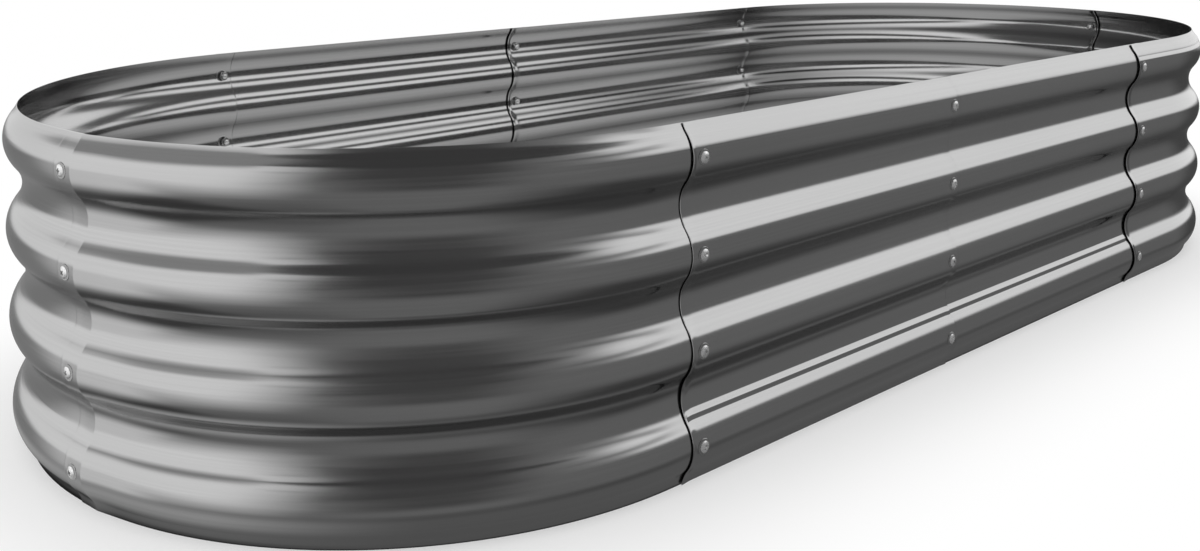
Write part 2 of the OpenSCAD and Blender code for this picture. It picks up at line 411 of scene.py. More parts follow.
# The heading's Y is -1 along the front, 0 at the tip of the left end and 1 along the back.
left_x = math_node(
    ground, "MINIMUM", math_node(ground, "ADD", place.outputs["X"], HALF_STRAIGHT), JUST_LEFT
)
from_left = node(ground, "CombineXYZ")
ground.links.new(left_x, from_left.inputs["X"])
ground.links.new(place.outputs["Y"], from_left.inputs["Y"])
heading = node(ground, "VectorMath", operation="NORMALIZE")
ground.links.new(from_left.outputs[0], heading.inputs[0])
heading_split = node(ground, "SeparateXYZ")
ground.links.new(heading.outputs[0], heading_split.inputs[0])
left_share = soft_step(ground, heading_split.outputs["Y"], *LEFT_FOOT_STARTS)
foot = mixed(
    ground,
    left_share,
    levels_along(ground, off_wall, FOOT_FRONT),
    levels_along(ground, off_wall, FOOT_LEFT),
)
is_outside = math_node(ground, "GREATER_THAN", off_wall, 0.0)
mirrored_strength = mixed(
    ground, is_outside, levels_along(ground, off_wall, INSIDE_LEVELS), foot
)
# The floor glows in mirrors with these levels, which carry the painted shadow by the wall.
near = node(ground, "Emission")
ground.links.new(mirrored_strength, near.inputs["Strength"])
see_through = node(ground, "BsdfTransparent")
mirrored_floor = node(ground, "MixShader")
ground.links.new(soft_step(ground, off_wall, *FOOT_ENDS), mirrored_floor.inputs[0])
ground.links.new(near.outputs[0], mirrored_floor.inputs[1])
ground.links.new(see_through.outputs[0], mirrored_floor.inputs[2])

floor_mix = node(ground, "MixShader")
ground.links.new(mirror_rays(ground), floor_mix.inputs[0])
ground.links.new(seen.outputs[0], floor_mix.inputs[1])
ground.links.new(mirrored_floor.outputs[0], floor_mix.inputs[2])
floor_output = node(ground, "OutputMaterial")
ground.links.new(floor_mix.outputs[0], floor_output.inputs[0])
floor.data.materials.append(floor_material)
print("mirrors see the floor up to", FOOT_ENDS[1], "from the wall")

# %% [markdown]
# Above the bed hangs a light tent. The inner faces of the far wall mirror it, so its light and dark
# strips put several thin lines side by side on their waves, as they do in the picture. It is a
# plain tube along the bed, and its strips are levels across it. Only the part of it that is
# higher than the rim shows, and only in mirrors.

# %% Hang the light tent
TENT_RADIUS = 0.345
TENT_AXIS = 0.28
TENT_START = -0.35
TENT_END = 1.1
TENT_FOOT = 0.33
TENT_POINTS = 128
TENT_STRIPS = [
    (-0.345, 1.0), (-0.28, 1.0), (-0.255, 0.08), (-0.165, 0.08), (-0.12, 1.0), (0.03, 1.0),
    (0.11, 0.08), (0.345, 0.1),
]
TENT_FALL = [(0.45, 1.0), (0.8, 0.35)]

bpy.ops.object.select_all(action="DESELECT")
bpy.ops.mesh.primitive_cylinder_add(
    vertices=TENT_POINTS, radius=TENT_RADIUS, depth=TENT_END - TENT_START, end_fill_type="NOTHING"
)
tent = bpy.context.object
tent.name = "tent"
tent_middle = ((TENT_START + TENT_END) / 2, 0, TENT_AXIS)
along_bed = Matrix.Rotation(math.pi / 2, 4, "Y")
tent.data.transform(Matrix.Translation(tent_middle) @ along_bed)
tent_material = bpy.data.materials.new("tent_cloth")
tent_material.use_nodes = True
cloth = tent_material.node_tree
cloth.nodes.clear()
spot = node(cloth, "SeparateXYZ")
cloth.links.new(node(cloth, "TexCoord").outputs["Object"], spot.inputs[0])
strips = math_node(
    cloth,
    "MULTIPLY",
    levels_along(cloth, spot.outputs["Y"], TENT_STRIPS),
    levels_along(cloth, spot.outputs["X"], TENT_FALL),
)
glow = node(cloth, "Emission")
cloth.links.new(strips, glow.inputs["Strength"])
tent_shows = math_node(
    cloth,
    "MULTIPLY",
    mirror_rays(cloth),
    math_node(cloth, "GREATER_THAN", spot.outputs["Z"], TENT_FOOT),
)
tent_mix = node(cloth, "MixShader")
cloth.links.new(tent_shows, tent_mix.inputs[0])
cloth.links.new(node(cloth, "BsdfTransparent").outputs[0], tent_mix.inputs[1])
cloth.links.new(glow.outputs[0], tent_mix.inputs[2])
cloth.links.new(tent_mix.outputs[0], node(cloth, "OutputMaterial").inputs[0])
tent.data.materials.append(tent_material)
print("tent radius", TENT_RADIUS, "from x", TENT_START, "to", TENT_END)

# %% [markdown]
# Galvanised sheet has a fine grain along its rolled length. It is made of noise stretched along
# the sheet's own map, in which U is the distance along the wall and V the height, so the grain
# follows the bends. Grain and larger clouds tint the steel a little and change how sharp its
# reflections are, shallow dents from the rolling mill bend them, and the shader's anisotropy
# stretches them along the wall. Where one part of the wall mirrors another, the second bounce is
# made duller, because the picture shows hardly any of those.

# %% Start a metal
def metal(name, colour, roughness):
    """A new metal, its shader node and the node tree."""
    material = bpy.data.materials.new(name)
    material.use_nodes = True
    tree = material.node_tree
    shader = tree.nodes["Principled BSDF"]
    shader.inputs["Metallic"].default_value = 1.0
    shader.inputs["Base Color"].default_value = (*colour, 1)
    shader.inputs["Roughness"].default_value = roughness
    return material, tree, shader


def noise(tree, coordinates, scale, stretch=(1, 1, 1), detail=2.0, turn=0.0):
    """Noise on stretched coordinates, from 0 to 1."""
    mapping = node(tree, "Mapping")
    mapping.inputs["Scale"].default_value = stretch
    mapping.inputs["Location"].default_value = (turn, turn, turn)
    tree.links.new(coordinates, mapping.inputs["Vector"])
    made = node(tree, "TexNoise")
    made.inputs["Scale"].default_value = scale
    made.inputs["Detail"].default_value = detail
    tree.links.new(mapping.outputs[0], made.inputs["Vector"])
    return made.outputs["Fac"]


def grey_of(tree, level):
    """A grey colour from one level."""
    made = node(tree, "CombineColor")
    for channel in range(3):
        tree.links.new(level, made.inputs[channel])
    return made.outputs[0]


SHEET_MAP = "wall_map"
SHEET_GREY = 0.57
SHEET_ROUGHNESS = 0.16
sheet_steel, steel, steel_shader = metal("sheet_steel", (SHEET_GREY,) * 3, SHEET_ROUGHNESS)
print("sheet steel grey", SHEET_GREY, "roughness", SHEET_ROUGHNESS)

# %% Grain the sheet steel
GRAIN_STRETCH = (1.6, 600, 1)
CLOUD_STRETCH = (2.5, 14, 1)
NOISE_ENDS = (0.3, 0.7)
TINT_SPREAD = 0.012
GRAIN_GLOSS = 0.015
CLOUD_GLOSS = 0.02
SECOND_MIRROR = 0.45

wall_uv = node(steel, "UVMap", uv_map=SHEET_MAP).outputs[0]
grain = noise(steel, wall_uv, 1.0, GRAIN_STRETCH, detail=3)
clouds = noise(steel, wall_uv, 1.0, CLOUD_STRETCH, detail=2, turn=3.7)
shade = math_node(
    steel,
    "ADD",
    soft_step(steel, grain, *NOISE_ENDS, -TINT_SPREAD, TINT_SPREAD),
    soft_step(steel, clouds, *NOISE_ENDS, SHEET_GREY - TINT_SPREAD, SHEET_GREY + TINT_SPREAD),
)
# Painted shade: where a mirrored ray meets the steel, its colour is darkened to SECOND_MIRROR of
# itself, so the wall's images of itself look dim.
mirrored_shade_share = mixed(steel, mirror_rays(steel), 1.0, SECOND_MIRROR)
duller = node(steel, "Mix", data_type="RGBA", blend_type="MULTIPLY")
duller.inputs["Factor"].default_value = 1.0
steel.links.new(grey_of(steel, shade), duller.inputs["A"])
steel.links.new(mirrored_shade_share, duller.inputs["B"])
steel.links.new(duller.outputs["Result"], steel_shader.inputs["Base Color"])
gloss = math_node(
    steel,
    "ADD",
    soft_step(steel, grain, *NOISE_ENDS, -GRAIN_GLOSS, GRAIN_GLOSS),
    soft_step(
        steel, clouds, *NOISE_ENDS, SHEET_ROUGHNESS - CLOUD_GLOSS, SHEET_ROUGHNESS + CLOUD_GLOSS
    ),
)
steel.links.new(gloss, steel_shader.inputs["Roughness"])
print("second bounces keep", SECOND_MIRROR, "of their light")

# %% Stretch and bend its reflections
STRETCH = 0.5
DENT_STRETCH = (1.2, 45, 1)
DENT_DEPTH = 0.1 * MM

steel_shader.inputs["Anisotropic"].default_value = STRETCH
tangent = node(steel, "Tangent", direction_type="UV_MAP", uv_map=SHEET_MAP)
steel.links.new(tangent.outputs[0], steel_shader.inputs["Tangent"])
dents = noise(steel, wall_uv, 1.0, DENT_STRETCH, detail=3, turn=1.3)
bump = node(steel, "Bump")
bump.inputs["Strength"].default_value = 1.0
bump.inputs["Distance"].default_value = DENT_DEPTH
steel.links.new(dents, bump.inputs["Height"])
steel.links.new(bump.outputs[0], steel_shader.inputs["Normal"])
print("dents up to", DENT_DEPTH, "deep")

# %% [markdown]
# Bolts, washers and nuts are zinc plated. The plate is bright, with small patches that are duller
# and rougher than the rest, which one noise gives. The bolts are not quite all metal, so that
# their heads stay pale against the dark flanks.

# %% Make the fasteners' steels
PATCH_SCALE = 900
ROUGH_PATCHES = (0.35, 0.7)
DULL_PATCHES = (0.35, 0.75)
BRIGHTEST = 1.06
DULLEST = 0.82
BOLT_METALLIC = 0.88


def plated(name, grey, roughness, spread):
    """Zinc-plated steel, with small patches that are duller than the rest."""
    material, tree, shader = metal(name, (grey, grey, grey), roughness)
    patches = noise(tree, node(tree, "TexCoord").outputs["Object"], PATCH_SCALE, detail=3)
    rough = soft_step(tree, patches, *ROUGH_PATCHES, roughness - spread, roughness + spread)
    tree.links.new(rough, shader.inputs["Roughness"])
    dull = soft_step(tree, patches, *DULL_PATCHES, grey * BRIGHTEST, grey * DULLEST)
    tree.links.new(grey_of(tree, dull), shader.inputs["Base Color"])
    return material, shader


bolt_steel, bolt_shader = plated("bolt_steel", 0.95, 0.3, 0.06)
bolt_shader.inputs["Metallic"].default_value = BOLT_METALLIC
washer_steel, _ = plated("washer_steel", 0.55, 0.3, 0.08)
nut_steel, _ = plated("nut_steel", 0.5, 0.28, 0.08)
print("plated", bolt_steel.name, washer_steel.name, nut_steel.name)

# %% [markdown]
# A real sheet gets its waves in a press. Here one upright line of points gets them: it is drawn
# by extruding a single point again and again along the wave's side view. Crests and troughs are
# arcs of one circle that meet halfway. The line gets more points where a crease and the rounded
# foot will be, and is the pattern for every panel.

# %% Draw the wave's side view
STEPS_PER_WAVE = 28
QUARTER_WAVE = WAVE_PITCH / 4
FLANK_TILT = 2 * math.atan(WAVE_DEPTH / 2 / QUARTER_WAVE)
WAVE_RADIUS = QUARTER_WAVE / math.sin(FLANK_TILT)


def wave(height):
    """How far the outer face stands out from the crest line, which is 0 or less."""
    from_crest = abs((height - TOP_CREST + WAVE_PITCH / 2) % WAVE_PITCH - WAVE_PITCH / 2)
    if from_crest <= QUARTER_WAVE:
        return math.sqrt(WAVE_RADIUS**2 - from_crest**2) - WAVE_RADIUS
    from_trough = WAVE_PITCH / 2 - from_crest
    return WAVE_RADIUS - math.sqrt(WAVE_RADIUS**2 - from_trough**2) - WAVE_DEPTH


def drawn_line(name, points):
    """A new object with one line of points, drawn by extruding a single point."""
    bpy.ops.object.select_all(action="DESELECT")
    bpy.ops.mesh.primitive_plane_add(size=MM)
    piece = bpy.context.object
    piece.name = name
    bpy.ops.object.mode_set(mode="EDIT")
    bpy.ops.mesh.select_all(action="SELECT")
    bpy.ops.mesh.merge(type="CENTER")
    bpy.ops.mesh.select_all(action="SELECT")
    bpy.ops.transform.translate(value=points[0])
    for before, after in zip(points, points[1:]):
        step = [b - a for a, b in zip(before, after)]
        bpy.ops.mesh.extrude_vertices_move(TRANSFORM_OT_translate={"value": step})
    bpy.ops.object.mode_set(mode="OBJECT")
    return piece


FRONT_CREASE = 53.6 * MM
END_CREASE = 277 * MM
CREASE_MARKS = [0, 1.4, 1.9, 2.4, 4, 6]
FOOT_MARKS = [0.2, 0.45, 0.8, 1.3]
step_height = WAVE_PITCH / STEPS_PER_WAVE
step_count = math.ceil(BED_HEIGHT / step_height)
side_heights = {BED_HEIGHT * i / step_count for i in range(step_count + 1)}
for crease in (FRONT_CREASE, END_CREASE):
    side_heights = {z for z in side_heights if abs(z - crease) > CREASE_MARKS[-1] * MM}
    side_heights |= {crease + way * mark * MM for mark in CREASE_MARKS for way in (-1, 1)}
side_heights = sorted(side_heights | {mark * MM for mark in FOOT_MARKS})
side_view = drawn_line("side_view", [(wave(z), 0, z) for z in side_heights])
print("side view has", len(side_view.data.vertices), "points")

# %% [markdown]
# Each panel is then swept along the wall from its own copy of the line: extruded along the
# straight runs and spun round the ends. A sheet could also be bent by a modifier, but a sweep puts
# every column of points just where it is wanted. Columns are closer together near both edges and
# at a corner by the left end's seam, because these get a shape of their own in the next step.

# %% Choose the columns
EDGE_STATIONS = [0, 0.1, 0.3, 0.8, 1.6, 2.5, 3.5, 5, 6.5, 8, 10, 12, 14, 18, 24, 28, 32]
CORNER_STATIONS = [-14, -8, -4, -1.5, -0.3, 0, 0.3, 1.5, 4, 8, 14]
LEAST_STEP = 0.05 * MM
CORNER_AT = seam_at["left_end"] + LAP_WIDTH / 2


def sheet_stations(start, end):
    """Distances along the wall where a panel gets a column of points."""
    marks = {start + s * MM for s in EDGE_STATIONS} | {end - s * MM for s in EDGE_STATIONS}
    fixed = RUN_STARTS + [CORNER_AT + s * MM for s in CORNER_STATIONS]
    for lap in (0, WALL_LENGTH):
        marks |= {mark + lap for mark in fixed if start < mark + lap < end}
    marks = sorted(marks)
    return [a for a, b in zip(marks, marks[1:] + [math.inf]) if b - a > LEAST_STEP]


print("corner at", round(CORNER_AT, 4), "along the wall")

# %% Sweep a panel
BEND_STEP = 8 * MM
SPIN_SIGN = -1


def select_only(piece):
    """Makes a piece the one that operators act on."""
    bpy.ops.object.select_all(action="DESELECT")
    piece.select_set(True)
    bpy.context.view_layer.objects.active = piece


def swept_panel(name, start, end):
    """A copy of the side view, swept along the wall from start to end."""
    panel = side_view.copy()
    panel.data = side_view.data.copy()
    panel.name = name
    bpy.context.scene.collection.objects.link(panel)
    panel.data.transform(place_on_wall(start))
    select_only(panel)
    bpy.ops.object.mode_set(mode="EDIT")
    bpy.ops.mesh.select_all(action="SELECT")
    stations = sheet_stations(start, end)
    for a, b in zip(stations, stations[1:]):
        run = run_at((a + b) / 2 % WALL_LENGTH)
        if run % 2:
            step = (b - a if run == 1 else a - b, 0, 0)
            bpy.ops.mesh.extrude_region_move(TRANSFORM_OT_translate={"value": step})
        else:
            centre = (-HALF_STRAIGHT if run == 0 else HALF_STRAIGHT, 0, 0)
            steps = max(1, round((b - a) / BEND_STEP))
            bpy.ops.mesh.spin(
                steps=steps, angle=SPIN_SIGN * (b - a) / END_RADIUS, center=centre, axis=(0, 0, 1)
            )
    bpy.ops.object.mode_set(mode="OBJECT")
    return panel


print("a column every", BEND_STEP, "round the ends")

# %% Sweep all panels
# Each panel's first and last seam, and its layer.
PANELS = {
    "left_end_back_panel": ("back_left", "left_end", 0),
    "left_end_front_panel": ("left_end", "front_left", 1),
    "front_left_panel": ("front_left", "front_middle", 2),
    "front_right_panel": ("front_middle", "front_right", 1),
    "right_end_front_panel": ("front_right", "right_end", 2),
    "right_end_back_panel": ("right_end", "back_right", 1),
    "back_right_panel": ("back_right", "back_middle", 0),
    "back_left_panel": ("back_middle", "back_left", 1),
}
spans = {}
for panel_name, (first_seam, last_seam, layer) in PANELS.items():
    start = seam_at[first_seam] - LAP_WIDTH / 2
    end = seam_at[last_seam] + LAP_WIDTH / 2
    spans[panel_name] = (start, end if end > start else end + WALL_LENGTH)
sheets = {}
for panel_name, (start, end) in spans.items():
    sheets[panel_name] = swept_panel("sheet_" + panel_name.replace("_panel", ""), start, end)
    print(panel_name, "swept from", round(start, 4), "to", round(end, 4))
bpy.data.objects.remove(side_view)

# %% [markdown]
# Thin sheet never lies quite flat. At some laps an edge springs away from the sheet beside it by a
# millimetre or two, and the open gap is the dark seam line of the picture, thick where the edge
# stands off most. The other edges lie close and are rolled over, so that they are not sharp.
# These shapes could be pushed with proportional editing. Here each is a small formula of the
# distance from the edge and the height, so every seam can have its own table of gaps.

# %% Set the springs of the edges
TROUGHS = [crest - WAVE_PITCH / 2 for crest in CRESTS]
SPRING_HEIGHTS = [BED_HEIGHT]
for crest, trough in zip(CRESTS, TROUGHS):
    SPRING_HEIGHTS += [crest, trough]
SPRING_HEIGHTS[-1] = 0.0
PLAIN_SPRING = [0.6, 0.5, 0.6, 0.5, 0.6, 0.5, 0.6, 0.5, 0.6]
SPRINGS = {
    ("left_end", "outer"): [0.1] * 9,
    ("front_left", "outer"): [0.7, 1.2, 0.4, 0.4, 0.5, 0.8, 1.5, 0.9, 1.2],
    ("front_right", "outer"): [1.2, 1.5, 1.2, 1.2, 1.4, 1.2, 1.6, 1.2, 1.3],
    ("back_middle", "inner"): [2.2, 2.2, 2.0, 1.8, 2.0, 1.8, 2.0, 1.8, 1.8],
    ("right_end", "inner"): [2.4, 2.4, 2.2, 2.0, 2.0, 1.8, 2.0, 1.8, 1.8],
}
SPRUNG_ROLL = (0.3 * MM, 0.3 * MM)
PLAIN_ROLL = (1.2 * MM, 0.5 * MM)
SPRING_AT_CREST = LAP_WIDTH / 2 - WASHER_RADIUS
SPRING_AT_TROUGH = LAP_WIDTH / 2


def eased(share):
    """Goes smoothly from 0 to 1 as the share does."""
    share = min(max(share, 0), 1)
    return share * share * (3 - 2 * share)


def spring_at(table, height):
    """A seam's spring at a height, from its table of heights from the rim down."""
    for above, below, a, b in zip(SPRING_HEIGHTS, SPRING_HEIGHTS[1:], table, table[1:]):
        if height >= below:
            return (b + (a - b) * eased((height - below) / (above - below))) * MM
    return table[-1] * MM


def edge_shape(from_edge, height, table, roll):
    """How far a lapping edge stands off its own layer, at a distance from the very edge."""
    spring = spring_at(table, height)
    trough_share = -wave(height) / WAVE_DEPTH
    width = SPRING_AT_CREST + (SPRING_AT_TROUGH - SPRING_AT_CREST) * trough_share
    rise = spring * eased(1 - from_edge / width)
    roll_width, roll_depth = roll
    into_roll = max(1 - from_edge / roll_width, 0)
    return rise - roll_depth * (1 - math.sqrt(1 - into_roll**2))


print("sprung edges", list(SPRINGS))

# %% [markdown]
# The rolling mill and the press leave smaller shapes. A long crease runs low on the front panels,
# and a fainter one near the rim of the next. The lower edge is rounded. The ends of the sheets
# stay straight where they should bend, which leaves a slight corner by the left end's seam. Each
# of these moves the sheet in or out by a formula too.

# %% Shape the creases, the corner and the foot
CREASES = [
    (FRONT_CREASE, 0.9 * MM, spans["front_left_panel"][0], spans["right_end_front_panel"][0]),
    (END_CREASE, 0.35 * MM, spans["right_end_front_panel"][0], spans["right_end_front_panel"][1]),
]
CREASE_FADE = 4 * MM
CREASE_HALF = 1.9 * MM
CREASE_REACH = 6 * MM
CORNER_REACH = 31 * MM
FOOT_RADIUS = 1.3 * MM
FOOT_SHARE = 0.4


def crease_shape(height, crease, depth):
    """How far a crease moves the sheet: in just below its line, and out just above it."""
    off = height - crease
    side = 1 if off > 0 else -1
    off = min(abs(off), CREASE_REACH)
    if off < CREASE_HALF:
        return side * depth * off / CREASE_HALF
    return side * depth * (CREASE_REACH - off) / (CREASE_REACH - CREASE_HALF)


def corner_shape(distance):
    """How far the straight ends of the sheets stand out of the bend by the corner."""
    past = (distance - CORNER_AT + WALL_LENGTH / 2) % WALL_LENGTH - WALL_LENGTH / 2
    off = min(abs(past), CORNER_REACH)
    return (CORNER_REACH - off) ** 2 / (2 * END_RADIUS)


def foot_shape(height):
    """How far the lower edge is rounded inwards."""
    if height >= FOOT_RADIUS:
        return 0
    return FOOT_SHARE * (math.sqrt(FOOT_RADIUS**2 - (FOOT_RADIUS - height) ** 2) - FOOT_RADIUS)


print("creases at", FRONT_CREASE, "and", END_CREASE, "above the ground")

# %% [markdown]
# Every point of a panel is now put where the wave, the layer and these shapes want it. The same
# pass writes the map that the grain follows: U is the distance along the wall, V the height.

# %% Shape the panels
def edge_shapes(name):
    """For a panel's first and last edge: the way it springs, its springs and its roll."""
    first_seam, last_seam, layer = PANELS[name]
    neighbours = {
        first_seam: [p for p in PANELS if PANELS[p][1] == first_seam][0],
        last_seam: [p for p in PANELS if PANELS[p][0] == last_seam][0],
    }
    edges = []
    for seam in (first_seam, last_seam):
        side = "outer" if layer > PANELS[neighbours[seam]][2] else "inner"
        way = 1 if side == "outer" else -1
        sprung = (seam, side) in SPRINGS
        table = SPRINGS[seam, side] if sprung else PLAIN_SPRING
        edges.append((way, table, SPRUNG_ROLL if sprung else PLAIN_ROLL))
    return edges


def standing_out(name, distance, height, edges):
    """How far a panel's outer face stands out from the crest line of layer 0."""
    start, end = spans[name]
    out = wave(height) + PANELS[name][2] * LAYER_STEP + foot_shape(height)
    out += corner_shape(distance)
    for crease, depth, first, last in CREASES:
        share = eased((distance - first) / CREASE_FADE) * eased((last - distance) / CREASE_FADE)
        out += share * crease_shape(height, crease, depth)
    for from_edge, (way, table, roll) in zip((distance - start, end - distance), edges):
        if from_edge < LAP_WIDTH / 2:
            out += way * edge_shape(max(from_edge, 0), height, table, roll)
    return out


def shape_panel(name):
    """Puts a panel's points in their places and gives it the map that its grain follows."""
    mesh = sheets[name].data
    edges = edge_shapes(name)
    along = []
    for vertex in mesh.vertices:
        distance = distance_of(vertex.co)
        while distance < spans[name][0] - MM:
            distance += WALL_LENGTH
        height = vertex.co.z
        along.append(distance)
        out = standing_out(name, distance, height, edges)
        vertex.co = place_on_wall(distance) @ Vector((out, 0, height))
    uv = mesh.uv_layers.new(name=SHEET_MAP)
    for loop in mesh.loops:
        uv.data[loop.index].uv = (along[loop.vertex_index], mesh.vertices[loop.vertex_index].co.z)


for panel_name in PANELS:
    shape_panel(panel_name)
print("panels shaped", len(sheets))

# %% [markdown]
# The sheet gets its thickness on the hollow side, so the outer face stays where it is. Round
# holes for the bolts are cut through it afterwards, a little wider than the bolts. Holes made in
# the sweep would need columns of points round every bolt, and a cutter does without.

# %% Helpers for thickness and holes
HOLE_RADIUS = 3.5 * MM
HOLE_REACH = 6 * MM
HOLE_POINTS = 32


def apply_modifier(piece, kind, **settings):
    """Adds a modifier, sets it and applies it."""
    select_only(piece)
    modifier = piece.modifiers.new(kind.lower(), kind)
    for setting, value in settings.items():
        setattr(modifier, setting, value)
    bpy.ops.object.modifier_apply(modifier=modifier.name)


def face_outwards(piece):
    """Flips a sheet's faces if they look into the bed."""
    face = piece.data.polygons[0]
    middle_x = min(max(face.center.x, -HALF_STRAIGHT), HALF_STRAIGHT)
    out = Vector((face.center.x - middle_x, face.center.y, 0))
    if face.normal.dot(out) < 0:
        select_only(piece)
        bpy.ops.object.mode_set(mode="EDIT")
        bpy.ops.mesh.select_all(action="SELECT")
        bpy.ops.mesh.flip_normals()
        bpy.ops.object.mode_set(mode="OBJECT")


def hole_cutter(seams):
    """One object with a short rod through every bolt hole of the seams."""
    rods = []
    turn = Matrix.Rotation(math.pi / 2, 4, "Y")
    for seam in seams:
        for crest in CRESTS:
            bpy.ops.object.select_all(action="DESELECT")
            bpy.ops.mesh.primitive_cylinder_add(
                vertices=HOLE_POINTS, radius=HOLE_RADIUS, depth=2 * HOLE_REACH
            )
            rod = bpy.context.object
            to_crest = Matrix.Translation((0, 0, crest))
            rod.data.transform(place_on_wall(seam_at[seam]) @ to_crest @ turn)
            rods.append(rod)
    for rod in rods:
        rod.select_set(True)
    bpy.ops.object.join()
    return bpy.context.object


print("holes", 2 * HOLE_RADIUS, "wide")

# %% Thicken and drill the panels
SMOOTH_ANGLE = math.radians(40)

for panel_name, piece in sheets.items():
    face_outwards(piece)
    apply_modifier(piece, "SOLIDIFY", thickness=SHEET_THICKNESS, offset=-1, use_even_offset=True)
    # The rim and the foot are made level again.
    for vertex in piece.data.vertices:
        if min(vertex.co.z, BED_HEIGHT - vertex.co.z) < MM:
            vertex.co.z = round(vertex.co.z / BED_HEIGHT) * BED_HEIGHT
    cutter = hole_cutter(PANELS[panel_name][:2])
    apply_modifier(piece, "BOOLEAN", operation="DIFFERENCE", object=cutter, solver="EXACT")
    bpy.data.objects.remove(cutter)
    select_only(piece)
    bpy.ops.object.shade_smooth_by_angle(angle=SMOOTH_ANGLE)
    piece.data.materials.clear()
    piece.data.materials.append(sheet_steel)
    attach(piece, "root")
    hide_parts(panel_name)
    print(panel_name, len(piece.data.polygons), "faces")

# %% [markdown]
# The bolts are made as on a lathe: their side view is drawn from the tip to the top of the head
# and spun right round. The thread is drawn as rings, which look the same at this size. The head's
# rim overhangs a little, and the groove below it is the dark line that parts it from the washer.

# %% Turn a bolt
BOLT_RADIUS = 3 * MM
BOLT_LENGTH = 12 * MM
THREAD_DEPTH = 0.35 * MM
THREAD_PITCH = 1 * MM
THREAD_TURNS = 11
PLAIN_TIP = 0.5 * MM
PLAIN_NECK = 0.4 * MM
HEAD_RADIUS = 4.8 * MM
HEAD_HEIGHT = 2.2 * MM
HEAD_UNDERCUT = 0.7 * MM
UNDERCUT_TOP = 0.4 * MM
HEAD_RIM = 0.6 * MM
DOME_RADIUS = 9 * MM
DOME_STEPS = 7
LATHE_STEPS = 32
MERGE_WITHIN = 0.001 * MM


def turned(name, profile, closed=False):
    """A part spun from its side view, given as (radius, height) points."""
    points = [(radius, 0, height) for radius, height in profile]
    piece = drawn_line(name, points + points[:1] if closed else points)
    bpy.ops.object.mode_set(mode="EDIT")
    bpy.ops.mesh.select_all(action="SELECT")
    bpy.ops.mesh.spin(steps=LATHE_STEPS, angle=2 * math.pi, center=(0, 0, 0), axis=(0, 0, 1))
    bpy.ops.mesh.select_all(action="SELECT")
    bpy.ops.mesh.remove_doubles(threshold=MERGE_WITHIN)
    bpy.ops.mesh.normals_make_consistent(inside=False)
    bpy.ops.object.mode_set(mode="OBJECT")
    return piece


bolt_side = [(0, -BOLT_LENGTH), (BOLT_RADIUS - 2 * THREAD_DEPTH, -BOLT_LENGTH)]
thread_start = -BOLT_LENGTH + PLAIN_TIP
for turn in range(THREAD_TURNS):
    bolt_side.append((BOLT_RADIUS, thread_start + turn * THREAD_PITCH))
    bolt_side.append((BOLT_RADIUS - THREAD_DEPTH, thread_start + (turn + 0.5) * THREAD_PITCH))
bolt_side += [
    (BOLT_RADIUS, -PLAIN_NECK),
    (BOLT_RADIUS, 0),
    (HEAD_RADIUS - HEAD_UNDERCUT, 0),
    (HEAD_RADIUS - HEAD_UNDERCUT, UNDERCUT_TOP),
    (HEAD_RADIUS, HEAD_RIM),
]
dome_centre = HEAD_HEIGHT - DOME_RADIUS
dome_start = math.asin(HEAD_RADIUS / DOME_RADIUS)
for i in range(DOME_STEPS + 1):
    angle = dome_start * (1 - i / DOME_STEPS)
    bolt_side.append((DOME_RADIUS * math.sin(angle), dome_centre + DOME_RADIUS * math.cos(angle)))
bolt = turned("bolt", bolt_side)
print("bolt", len(bolt.data.polygons), "faces before its recess")

# %% [markdown]
# The cross recess is punched into a real head. Here two crossed blocks are cut out of it, each
# narrower at its lower end, as the driver's tip is.

# %% Cut the cross recess
RECESS_LENGTH = 6 * MM
RECESS_WIDTH = 1.8 * MM
RECESS_DEPTH = 1.6 * MM
LENGTH_TAPER = 0.45
WIDTH_TAPER = 0.7

for quarter_turn in (0, math.pi / 2):
    bpy.ops.object.select_all(action="DESELECT")
    bpy.ops.mesh.primitive_cube_add(size=1)
    slot_cutter = bpy.context.object
    bpy.ops.object.mode_set(mode="EDIT")
    bpy.ops.mesh.select_all(action="SELECT")
    bpy.ops.transform.resize(value=(RECESS_LENGTH, RECESS_WIDTH, 2 * RECESS_DEPTH))
    bpy.ops.mesh.select_all(action="DESELECT")
    bpy.ops.object.mode_set(mode="OBJECT")
    for vertex in slot_cutter.data.vertices:
        if vertex.co.z < 0:
            vertex.co.x *= LENGTH_TAPER
            vertex.co.y *= WIDTH_TAPER
    slot_cutter.data.transform(
        Matrix.Translation((0, 0, HEAD_HEIGHT)) @ Matrix.Rotation(quarter_turn, 4, "Z")
    )
    apply_modifier(bolt, "BOOLEAN", operation="DIFFERENCE", object=slot_cutter, solver="EXACT")
    bpy.data.objects.remove(slot_cutter)
print("bolt", len(bolt.data.polygons), "faces with its recess")

# %% [markdown]
# A washer is stamped from sheet, which rounds one edge. It is turned here like the bolt, from a
# closed side view, with rounded edges and a groove under its rim like the head's.

# %% Turn a washer
EDGE_ROUND = 0.25 * MM
WASHER_CLEARANCE = 0.2 * MM
WASHER_UNDERCUT = 0.6 * MM
WASHER_UNDERCUT_TOP = 0.35 * MM
WASHER_RIM = 0.5 * MM

